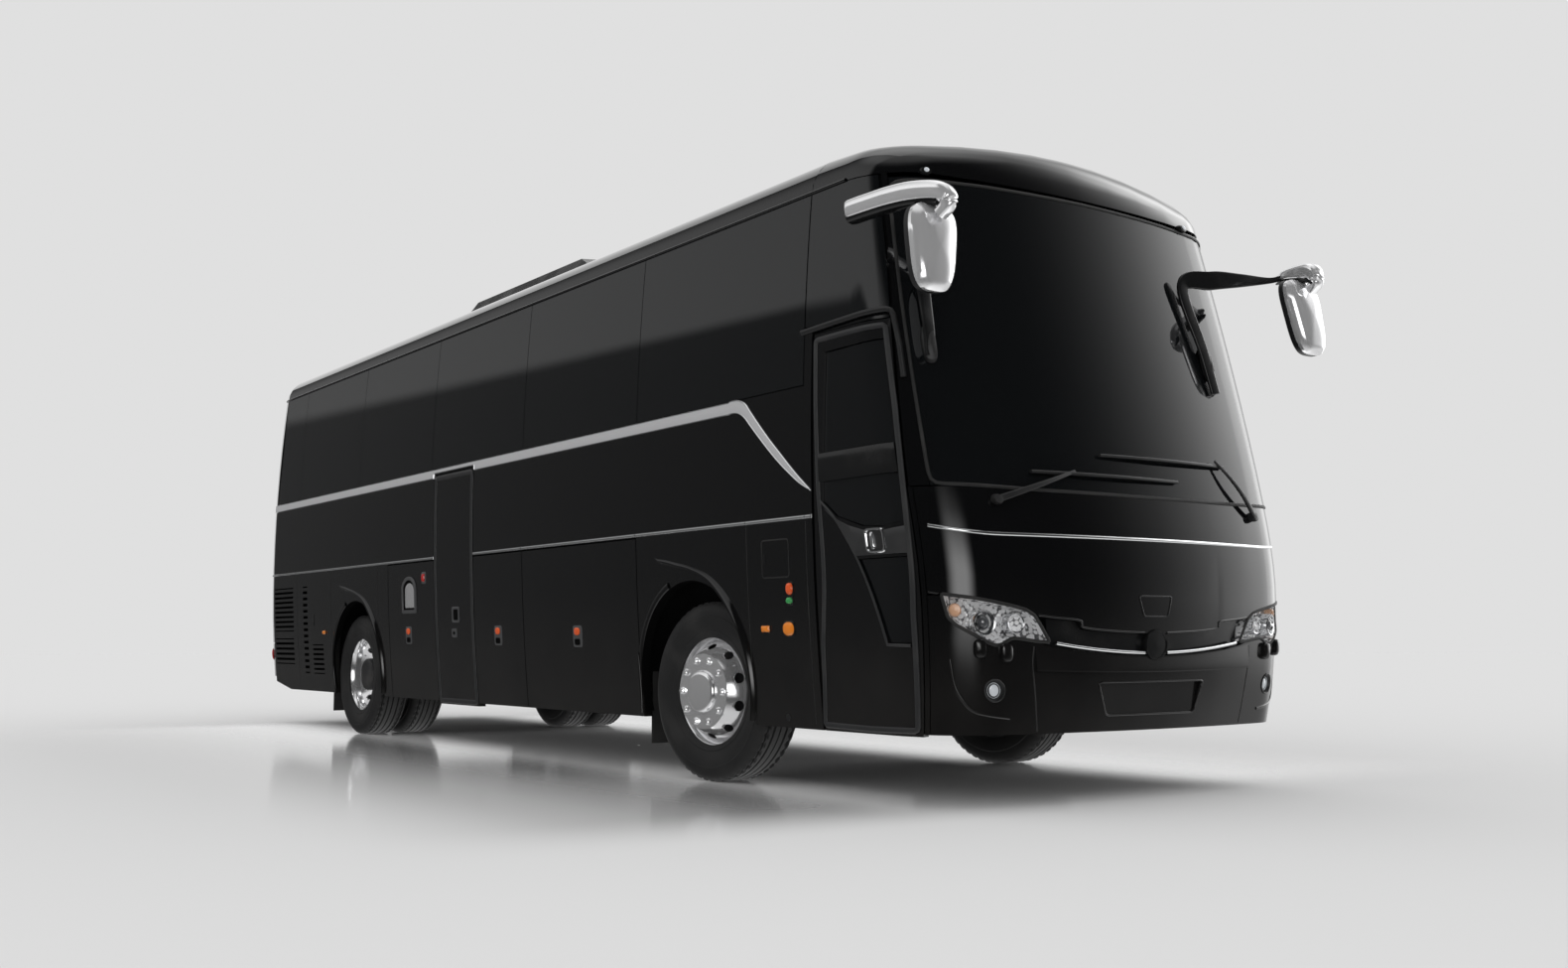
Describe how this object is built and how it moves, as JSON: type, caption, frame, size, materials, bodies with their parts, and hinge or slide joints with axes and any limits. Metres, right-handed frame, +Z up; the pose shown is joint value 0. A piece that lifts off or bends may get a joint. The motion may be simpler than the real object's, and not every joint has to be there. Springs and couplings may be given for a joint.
{
  "type": "touring coach bus",
  "caption": "Full-size black touring coach with hollow saloon, hinged doors, lifting luggage flaps, engine lid, steered front wheels and twin rear wheels.",
  "frame": {"origin": "on the ground, under the middle of the overall length and width", "axes": "+X forwards, +Y to the left, +Z up"},
  "size_m": [9.8276, 2.9328, 3.44],
  "materials": {
    "black_paint": "high gloss",
    "tinted_glass": "polished dark tint",
    "black_plastic": "satin",
    "black_rubber": "matt",
    "clear_lens": "clear",
    "red_lens": "glossy",
    "mirror_chrome": "polished",
    "bright_rim": "polished",
    "tyre_rubber": "matt",
    "frame_steel": "satin",
    "engine_iron": "rough",
    "floor_grey": "matt",
    "seat_cloth": "woven"
  },
  "bodies": {
    "coach_body": {"right_wall": "black_paint", "left_wall": "black_paint", "cab_side": "black_paint", "door_header": "black_paint", "roof": "black_paint", "roof_front": "black_paint", "roof_rear": "black_paint", "front_panel": "black_paint", "bumper": "black_paint", "screen_pillars": "black_paint", "rear_panel": "black_paint", "rear_bumper": "black_paint", "air_unit": "black_paint", "windscreen": "tinted_glass", "right_glass": "tinted_glass", "left_glass": "tinted_glass", "rear_glass": "tinted_glass", "front_grille": "black_plastic", "side_grilles": "black_plastic", "wipers": "black_plastic", "dashboard": "black_plastic", "mudflaps": "black_rubber", "headlamps": "clear_lens", "fog_lamps": "clear_lens", "tail_lamps": "red_lens", "mirror_right": "mirror_chrome", "mirror_left": "mirror_chrome", "chassis": "frame_steel", "front_axle": "frame_steel", "rear_axle": "frame_steel", "tow_eyes": "frame_steel", "engine": "engine_iron", "floor": "floor_grey", "seats": "seat_cloth"},
    "front_door": {"front_door": "black_paint", "front_door_glass": "tinted_glass"},
    "middle_door": {"middle_door": "black_paint"},
    "right_flap_1": {"right_flap_1": "black_paint"},
    "right_flap_2": {"right_flap_2": "black_paint"},
    "right_flap_3": {"right_flap_3": "black_paint"},
    "left_flap_1": {"left_flap_1": "black_paint"},
    "left_flap_2": {"left_flap_2": "black_paint"},
    "left_flap_3": {"left_flap_3": "black_paint"},
    "engine_lid": {"engine_lid": "black_paint"},
    "steer_left": {"knuckle_left": "frame_steel"},
    "steer_right": {"knuckle_right": "frame_steel"},
    "front_wheel_left": {"front_rim_left": "bright_rim", "front_tyre_left": "tyre_rubber"},
    "rear_wheels_left": {"rear_rims_left": "bright_rim", "rear_tyres_left": "tyre_rubber"},
    "front_wheel_right": {"front_rim_right": "bright_rim", "front_tyre_right": "tyre_rubber"},
    "rear_wheels_right": {"rear_rims_right": "bright_rim", "rear_tyres_right": "tyre_rubber"}
  },
  "joints": [
    {"name": "front_door_swing", "type": "hinge", "parent": "coach_body", "child": "front_door", "pos_m": [4.545, -1.262, 1], "axis": [0, 0, 1], "range_deg": [0, 85]},
    {"name": "middle_door_swing", "type": "hinge", "parent": "coach_body", "child": "middle_door", "pos_m": [-0.149, -1.257, 1], "axis": [0, 0, 1], "range_deg": [0, 90]},
    {"name": "right_flap_1_lift", "type": "hinge", "parent": "coach_body", "child": "right_flap_1", "pos_m": [1.365, -1.2474, 1.332], "axis": [-1, 0, 0], "range_deg": [0, 85]},
    {"name": "right_flap_2_lift", "type": "hinge", "parent": "coach_body", "child": "right_flap_2", "pos_m": [0.235, -1.2474, 1.332], "axis": [-1, 0, 0], "range_deg": [0, 85]},
    {"name": "right_flap_3_lift", "type": "hinge", "parent": "coach_body", "child": "right_flap_3", "pos_m": [-1.285, -1.2474, 1.332], "axis": [-1, 0, 0], "range_deg": [0, 85]},
    {"name": "left_flap_1_lift", "type": "hinge", "parent": "coach_body", "child": "left_flap_1", "pos_m": [1.365, 1.2474, 1.332], "axis": [1, 0, 0], "range_deg": [0, 85]},
    {"name": "left_flap_2_lift", "type": "hinge", "parent": "coach_body", "child": "left_flap_2", "pos_m": [0.035, 1.2474, 1.332], "axis": [1, 0, 0], "range_deg": [0, 85]},
    {"name": "left_flap_3_lift", "type": "hinge", "parent": "coach_body", "child": "left_flap_3", "pos_m": [-1.165, 1.2474, 1.332], "axis": [1, 0, 0], "range_deg": [0, 85]},
    {"name": "engine_lid_lift", "type": "hinge", "parent": "coach_body", "child": "engine_lid", "pos_m": [-4.883, 0, 1.504], "axis": [0, 1, 0], "range_deg": [0, 75]},
    {"name": "steer_left", "type": "hinge", "parent": "coach_body", "child": "steer_left", "pos_m": [2.735, 0.9, 0.479], "axis": [0, 0, 1], "range_deg": [-51.8, 38.2]},
    {"name": "steer_right", "type": "hinge", "parent": "coach_body", "child": "steer_right", "pos_m": [2.735, -0.9, 0.479], "axis": [0, 0, 1], "range_deg": [-51.8, 38.2]},
    {"name": "front_spin_left", "type": "hinge", "parent": "steer_left", "child": "front_wheel_left", "pos_m": [2.71866, 1.03703, 0.479], "axis": [-0.1184, 0.993, 0], "continuous": true},
    {"name": "rear_spin_left", "type": "hinge", "parent": "coach_body", "child": "rear_wheels_left", "pos_m": [-2.565, 1.026, 0.479], "axis": [0, 1, 0], "continuous": true},
    {"name": "front_spin_right", "type": "hinge", "parent": "steer_right", "child": "front_wheel_right", "pos_m": [2.75134, -1.03703, 0.479], "axis": [-0.1184, 0.993, 0], "continuous": true},
    {"name": "rear_spin_right", "type": "hinge", "parent": "coach_body", "child": "rear_wheels_right", "pos_m": [-2.565, -1.026, 0.479], "axis": [0, 1, 0], "continuous": true}
  ],
  "couplings": [
    {"joint": "steer_right", "follows": "steer_left", "ratio": 1}
  ]
}
